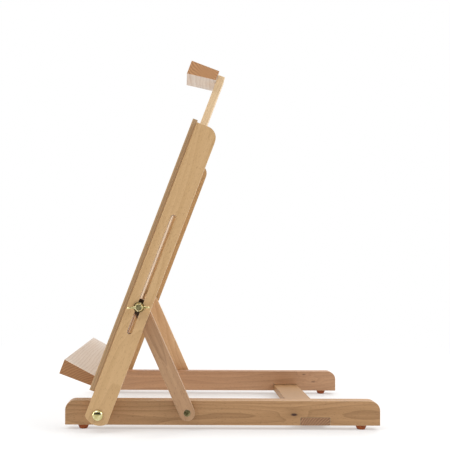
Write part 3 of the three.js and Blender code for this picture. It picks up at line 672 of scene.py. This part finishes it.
def screwMesh(name, length, headRadius, headDepth, shankRadius, settings, panHead=False):
    shape = bmesh.new()
    edge = settings["edge"]
    neck = shankRadius * settings["neck"]
    crown = headDepth * settings["crown"]
    root = shankRadius * (1 - settings["threadDepth"])
    profile = [(-length, 0), (-length + shankRadius * 2, root)]
    height = profile[-1][0]
    top = -length + length * settings["threadShare"]
    while height + settings["pitch"] < min(top, -headDepth - settings["pitch"]):
        profile += [(height + settings["pitch"] * 0.35, root),
                    (height + settings["pitch"] * 0.68, shankRadius)]
        height += settings["pitch"]
    profile.append((height + settings["pitch"] * 0.5, neck))
    if panHead:
        profile += [(-headDepth, neck), (-headDepth, headRadius - edge)]
        profile += [(-crown + crown * math.sin(a), headRadius * math.cos(a))
                    for a in (math.radians(9 * i) for i in range(10))]
        profile.append((0, 0))
    else:
        profile += [(-headDepth, neck), (-edge * 3, headRadius - edge),
                    (-edge * 1.6, headRadius), (-edge * 0.6, headRadius - edge * 0.4),
                    (0, headRadius - edge * 1.6), (0, 0)]
    addLathe(shape, profile, settings["sides"])
    body = finished(shape, name)

    cross = bmesh.new()
    span = headRadius * settings["crossSpan"]
    width = headRadius * settings["crossWidth"]
    depth = headDepth * settings["crossDepth"]
    base = span * settings["crossFloor"]
    above = settings["crossAbove"]
    for quarter in (0, 1):
        place = Matrix.Rotation(quarter * math.pi / 2, 4, "Z") @ Matrix.Rotation(math.pi / 2, 4, "X")
        arm = [(-span, above), (-span, 0), (-base, -depth), (base, -depth), (span, 0), (span, above)]
        addPrism(cross, arm, -width, width, place)
    bmesh.ops.recalc_face_normals(cross, faces=cross.faces)
    crossMesh = bpy.data.meshes.new("cross")
    cross.to_mesh(crossMesh)
    cross.free()
    cutter = bpy.data.objects.new("cross", crossMesh)
    bpy.context.scene.collection.objects.link(cutter)

    def carve(carrier):
        carving = carrier.modifiers.new("cross", "BOOLEAN")
        carving.operation = "DIFFERENCE"
        carving.solver = "EXACT"
        carving.use_self = True
        carving.object = cutter

    made = applied(body, carve)
    bpy.data.objects.remove(cutter)
    return made


def measuredScrew(node, axis):
    centre, length, rim = turnedMeasure(node, axis)
    headRadius = max(radius for height, radius in rim)
    shankRadius = max(radius for height, radius in rim if height < -length * shankShare)
    necks = [height for height, radius in rim if abs(radius - shankRadius) < sameRadius]
    return centre, length, headRadius, -max(necks), shankRadius


sideAxis = {"left": Vector((-1, 0, 0)), "right": Vector((1, 0, 0))}
down = Vector((0, 0, -1))
backOfFrame = -frontOfFrame
screwAxes = {"panel_screw": frontOfFrame, "tray_screw": backOfFrame, "keeper_screw": backOfFrame,
             "block_screw": backOfFrame, "cross_bar_screw": down, "foot_screw": down}
screwFinishes = {"foot_screw": "greySteel", "strut_screw": "agedZinc"}


def makeScrews(settings):
    kinds = {}
    for index, node in enumerate(sorted(name for name in nodes if "screw" in name)):
        kind = next((start for start in screwAxes if node.startswith(start)), "strut_screw")
        axis = screwAxes.get(kind) or sideAxis[node.rsplit("_", 1)[1]]
        centre, length, headRadius, headDepth, shankRadius = measuredScrew(node, axis)
        if kind not in kinds:
            kinds[kind] = screwMesh(kind, length, headRadius, headDepth, shankRadius, settings,
                                    kind == "foot_screw")
        mesh = kinds[kind].copy()
        mesh.transform(facingMatrix(centre, axis, settings["firstSpin"] + settings["spinStep"] * index))
        finish = metals[screwFinishes.get(kind, "yellowZinc")]
        standIn(node + "_fine", node, mesh, finish)


makeScrews(screwSettings)
print("screws made")

# dome-headed pivot bolts
domeSettings = {"sides": 56, "steps": 12, "rimEase": 0.0002}


def makePivotBolt(side, settings):
    node = "pivot_bolt_" + side
    axis = sideAxis[side]
    centre, length, rim = turnedMeasure(node, axis)
    headRadius = max(radius for height, radius in rim)
    headDepth = -min(height for height, radius in rim if radius > headRadius * 0.9)
    shankRadius = max(radius for height, radius in rim if height < -length * shankShare)
    ease = settings["rimEase"]
    profile = [(-length, 0), (-length, shankRadius - 2 * ease), (-length + 2 * ease, shankRadius),
               (-headDepth, shankRadius), (-headDepth, headRadius - 2 * ease),
               (-headDepth + ease, headRadius - ease / 2), (-headDepth + 2 * ease, headRadius)]
    crown = headDepth - 3 * ease
    for step in range(1, settings["steps"]):
        angle = step / settings["steps"] * math.pi / 2
        profile.append((-crown + crown * math.sin(angle), headRadius * math.cos(angle)))
    profile.append((0, 0))
    shape = bmesh.new()
    addLathe(shape, profile, settings["sides"], facingMatrix(centre, axis))
    standIn(node + "_fine", node, finished(shape, node), metals["domeZinc"])


# clamp bolts with a thread where the wing nut runs
threadSettings = {"pitch": 0.001, "depth": 0.00035, "reach": 0.014, "sides": 40, "chamfer": 0.0006}


def makeClampBolt(side, settings):
    node = "clamp_bolt_" + side
    axis = sideAxis[side]
    centre, length, rim = turnedMeasure(node, axis)
    radius = max(gap for height, gap in rim)
    root = radius - settings["depth"]
    profile = [(-length, 0), (-length, radius)]
    height = -settings["reach"]
    while height < -settings["chamfer"] - settings["pitch"]:
        profile += [(height, radius), (height + settings["pitch"] * 0.4, root),
                    (height + settings["pitch"] * 0.6, root)]
        height += settings["pitch"]
    profile += [(height, radius), (-settings["chamfer"], radius), (0, radius - settings["chamfer"]), (0, 0)]
    shape = bmesh.new()
    addLathe(shape, profile, settings["sides"], facingMatrix(centre, axis))
    standIn(node + "_fine", node, finished(shape, node), metals["agedZinc"])


# cast wing nuts: hub, collar and two wings, melted together
wingSettings = {
    "voxel": 0.0003,
    "smoothing": 7,
    "thickness": (0.0030, 0.0019),   # at the root and at the tip
    "waist": 0.0048,                 # the arm's height where it leaves the hub
    "tip": 0.0034,                   # radius of the wing's round end
    "collar": 0.0012,
    "hubSides": 64,
    "hubTop": 0.8,                   # of the hub's foot radius
    "collarTop": (1.6, 0.93),        # of the collar's height and of the foot radius
    "armMiddle": 0.45,               # of the hub's height
    "armRise": 1.6,
    "armSwell": 2.5,
    "relax": 0.5,
    "root": 0.0004,                  # how far the wings start outside the bore and above the foot
    "curveSteps": 12,
    "keep": 0.4,                     # share of the melted faces that is kept
}


def makeWingNut(side, settings):
    node = "wing_nut_" + side
    axis = sideAxis[side]
    points = [vertex.co for vertex in nodes[node].data.vertices]
    pivot = Vector(joints["wing_nut_turn_" + side]["pos_m"])
    base = min(point.dot(axis) for point in points)
    rise = max(point.dot(axis) for point in points) - base
    flat = [(point - pivot) - axis * (point - pivot).dot(axis) for point in points]
    reach = max(flat, key=lambda gap: gap.length)
    nearHub = [gap.length for gap, point in zip(flat, points) if point.dot(axis) - base < sameHeight]
    footRadius = max(nearHub)
    bore = min(nearHub)
    hubHeight = max(point.dot(axis) - base for gap, point in zip(flat, points) if gap.length < bore * 1.05)
    outwards = reach.normalized()
    upwards = axis.cross(outwards)
    frameTurn = Matrix((outwards, upwards, axis)).transposed().to_4x4()
    origin = pivot + axis * (base - pivot.dot(axis))
    topRadius = footRadius * settings["hubTop"]
    collarUp, collarIn = settings["collarTop"]
    shape = bmesh.new()
    collar = settings["collar"]
    hub = [(0, bore), (0, footRadius), (collar, footRadius), (collar * collarUp, footRadius * collarIn),
           (hubHeight, topRadius), (hubHeight, bore), (0, bore)]
    addLathe(shape, hub, settings["hubSides"])
    bmesh.ops.remove_doubles(shape, verts=shape.verts, dist=mergeDistance)
    span = reach.length
    tip = settings["tip"]
    curveSteps = settings["curveSteps"]
    armMiddle = hubHeight * settings["armMiddle"]
    for sign in (1, -1):
        lower, upper = [], []
        inside = bore + settings["root"]
        for step in range(curveSteps + 1):
            share = step / curveSteps
            across = inside + (span - tip - inside) * share
            middle = armMiddle + (rise - tip - armMiddle) * share ** settings["armRise"]
            half = settings["waist"] / 2 + (tip - settings["waist"] / 2) * share ** settings["armSwell"]
            lower.append((across, max(middle - half, settings["root"])))
            upper.append((across, middle + half))
        around = [(span - tip + tip * math.sin(a), rise - tip - tip * math.cos(a))
                  for a in (math.pi * i / curveSteps for i in range(1, curveSteps))]
        outline = lower + around + list(reversed(upper))
        rows = []
        for depthSign in (-1, 1):
            row = []
            for across, up in outline:
                share = (across - inside) / (span - inside)
                thick = settings["thickness"][0] * (1 - share) + settings["thickness"][1] * share
                row.append(shape.verts.new(Vector((sign * across, sign * depthSign * thick / 2, up))))
            rows.append(row)
        shape.faces.new(rows[0])
        shape.faces.new(list(reversed(rows[1])))
        for i in range(len(outline)):
            j = (i + 1) % len(outline)
            shape.faces.new((rows[0][j], rows[0][i], rows[1][i], rows[1][j]))
    bmesh.ops.recalc_face_normals(shape, faces=shape.faces)
    rough = bpy.data.meshes.new(node)
    shape.to_mesh(rough)
    shape.free()

    def melt(carrier):
        remesh = carrier.modifiers.new("melt", "REMESH")
        remesh.mode = "VOXEL"
        remesh.voxel_size = settings["voxel"]
        relax = carrier.modifiers.new("relax", "SMOOTH")
        relax.factor = settings["relax"]
        relax.iterations = settings["smoothing"]
        thin = carrier.modifiers.new("thin", "DECIMATE")
        thin.ratio = settings["keep"]

    mesh = applied(rough, melt)
    mesh.transform(Matrix.Translation(origin) @ frameTurn)
    standIn(node + "_fine", node, mesh, metals["castZinc"])


# turned rubber feet
footSettings = {"sides": 48, "lowerEdge": 0.0007, "upperEdge": 0.0004, "recessEdge": 0.0002}


def makeFoot(node, settings):
    centre, height, rim = turnedMeasure(node, down)
    points = [(-h, r) for h, r in rim]
    lowRadius = max(r for h, r in points if h < sameHeight)
    highRadius = max(r for h, r in points)
    recess = min(r for h, r in points if h < sameHeight)
    bore = min(r for h, r in points)
    ceiling = max(h for h, r in points if abs(r - recess) < sameRadius)
    low, high = settings["lowerEdge"], settings["upperEdge"]
    slope = (highRadius - lowRadius) / height
    profile = [(ceiling, bore), (ceiling, recess), (0, recess + settings["recessEdge"]), (0, lowRadius - low)]
    profile += [(low * (1 - math.cos(a)), lowRadius - low + low * math.sin(a) + slope * low * 0.5)
                for a in (math.radians(22.5 * i) for i in range(1, 5))]
    profile += [(height - high, highRadius - slope * high), (height - high * 0.3, highRadius - high * 0.3),
                (height, highRadius - high), (height, bore), (ceiling, bore)]
    profile = [(-h, r) for h, r in profile]
    shape = bmesh.new()
    addLathe(shape, profile, settings["sides"], facingMatrix(centre, down))
    standIn(node + "_fine", node, finished(shape, node), moulded["footRubber"])


for side in sides:
    makePivotBolt(side, domeSettings)
    makeClampBolt(side, threadSettings)
    makeWingNut(side, wingSettings)
for node in sorted(nodes):
    if node.startswith("foot_") and "screw" not in node:
        makeFoot(node, footSettings)
print("bolts, wing nuts and feet made")

# the wooden pieces: the frame's own nodes, with their arrises eased and their own grain
upTurn = (leanTurn, 0, 0)
strutGrain = (strutTurn, 0, 0)
backTurn = (-math.pi / 2, 0, 0)
acrossTurn = (0, math.pi / 2, 0)
easing = {"wood": 0.0009, "panel": 0.0006, "steel": 0.0003}
dressSettings = {"flat": math.radians(1), "corner": math.radians(40)}
panelSettings = {"longEdge": 0.02, "corner": 0.7, "segments": 3, "normalWeight": 100}

woodPieces = {
    "upright_right": {"look": "paleBeech", "turn": upTurn, "pith": (0.06, 0.012), "seed": 0.3},
    "upright_left": {"look": "paleBeech", "turn": upTurn, "pith": (-0.05, -0.01), "seed": 1.3},
    "base_rail_right": {"look": "warmBeech", "turn": backTurn, "pith": (-0.004, 0.004), "seed": 2.1,
                        "knots": ((0.298, 0.014, 0.0024),)},
    "base_rail_left": {"look": "redBeech", "turn": backTurn, "pith": (0.04, 0.03), "seed": 3.4,
                       "knots": ((0.373, 0.015, 0.0020), (0.357, 0.027, 0.0017))},
    "rear_cross_bar": {"look": "barBeech", "turn": acrossTurn, "pith": (0.05, 0.06), "seed": 4.2},
    "strut_right": {"look": "pinkBeech", "turn": strutGrain, "pith": (0.04, 0.0), "seed": 5.5},
    # the far strut's paler beech carries painted light
    "strut_left": {"look": "amberBeech", "turn": strutGrain, "pith": (-0.04, 0.01), "seed": 6.1},
    "tray": {"look": "trayBeech", "turn": acrossTurn, "pith": (0.07, 0.03), "seed": 7.7},
    "clamp_block": {"look": "creamBeech", "turn": acrossTurn, "pith": (-0.03, 0.04), "seed": 8.2},
    "mast": {"look": "mastBeech", "turn": upTurn, "pith": (0.02, 0.05), "seed": 9.6},
    "bridge_bar": {"look": "pinkBeech", "turn": acrossTurn, "pith": (0.03, 0.03), "seed": 10.1},
    "mast_guide_left": {"look": "pinkBeech", "turn": upTurn, "pith": (-0.03, 0.03), "seed": 11.3},
    "mast_guide_right": {"look": "pinkBeech", "turn": upTurn, "pith": (0.03, 0.03), "seed": 12.4},
    "mast_keeper": {"look": "warmBeech", "turn": acrossTurn, "pith": (0.03, 0.02), "seed": 13.9},
    "stop_pin": {"look": "pinkBeech", "turn": upTurn, "pith": (0.01, 0.02), "seed": 14.2},
    "pivot_spacer_left": {"look": "paleBeech", "turn": upTurn, "pith": (0.02, 0.02), "seed": 15.8},
    "pivot_spacer_right": {"look": "paleBeech", "turn": upTurn, "pith": (0.02, 0.02), "seed": 16.7},
}


def knotPlaces(node, knots):
    # knots are given as distance from the rail's front end, height above its underside, and radius
    low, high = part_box(node)
    face = high.x
    return [(Vector((face, low.y + along, low.z + height)), radius) for along, height, radius in knots]


# the strut's face is painted dark round the clamp bolt, where the upright bears on it: painted shade
shadeSpotRadius = 0.0135


def shadeSpotPlace(node):
    if not node.startswith("strut_"):
        return None
    low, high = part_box(node)
    outer = high.x if high.x > 0 else low.x
    return Vector((outer, clampPoint.y, clampPoint.z)), shadeSpotRadius


def middleOf(node):
    low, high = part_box(node)
    return (low + high) / 2


def dress(node, material, easeWidth, segments=3):
    piece = nodes[node]
    piece.data.materials.clear()
    piece.data.materials.append(material)
    weld = piece.modifiers.new("weld", "WELD")
    weld.merge_threshold = weldDistance
    flatten = piece.modifiers.new("flatten", "DECIMATE")
    flatten.decimate_type = "DISSOLVE"
    flatten.angle_limit = dressSettings["flat"]
    ease = piece.modifiers.new("ease", "BEVEL")
    ease.width = easeWidth
    ease.segments = segments
    ease.limit_method = "ANGLE"
    ease.angle_limit = dressSettings["corner"]
    piece.modifiers.new("smooth", "WEIGHTED_NORMAL")
    piece.data.shade_smooth()


for node, wood in woodPieces.items():
    name = "wood" + "".join(part.capitalize() for part in node.split("_"))
    material = makeWood(name, woodLooks[wood["look"]], grainSettings, wood["turn"], middleOf(node),
                        wood["pith"], wood["seed"], knotPlaces(node, wood.get("knots", ())),
                        shadeSpotPlace(node))
    dress(node, material, easing["wood"])


# the board's long edges are eased by themselves, so its screw holes stay clean
def makePanel(easeWidth, settings):
    node = "drawing_panel"
    offsets = [vertex.co.dot(frontOfFrame) for vertex in nodes[node].data.vertices]
    thickness = max(offsets) - min(offsets)
    shape = bmesh.new()
    shape.from_mesh(nodes[node].data)
    bmesh.ops.remove_doubles(shape, verts=shape.verts, dist=weldDistance)
    edges = [edge for edge in shape.edges
             if edge.calc_length() > settings["longEdge"] and edge.is_manifold
             and edge.calc_face_angle_signed() > settings["corner"]]
    bmesh.ops.bevel(shape, geom=edges, offset=easeWidth, segments=settings["segments"], profile=0.5,
                    affect="EDGES")
    plywood = makePlywood("plywood", plywoodSettings, middleOf(node), thickness)
    board = standIn("drawing_board", node, finished(shape, node), plywood)
    smooth = board.modifiers.new("smooth", "WEIGHTED_NORMAL")
    smooth.keep_sharp = True
    smooth.weight = settings["normalWeight"]


makePanel(easing["panel"], panelSettings)
print("wooden pieces dressed")

# the clamp washers take the darker zinc, painted shade
washerFinish = {"clamp_washer": metals["washerZinc"]}
slotFinishes = {"yellow_zinc": metals["yellowZinc"], "black_nylon": moulded["blackNylon"]}
replacedStarts = ("pivot_bolt", "clamp_bolt", "wing_nut", "foot_")
for node in nodes:
    replaced = "screw" in node or node.startswith(replacedStarts)
    if node not in woodPieces and node != "drawing_panel" and not replaced:
        finish = slotFinishes[recordSlots[node]]
        finish = washerFinish.get(node.rsplit("_", 1)[0], finish)
        dress(node, finish, easing["steel"], 2)
print("metal and moulded pieces dressed")
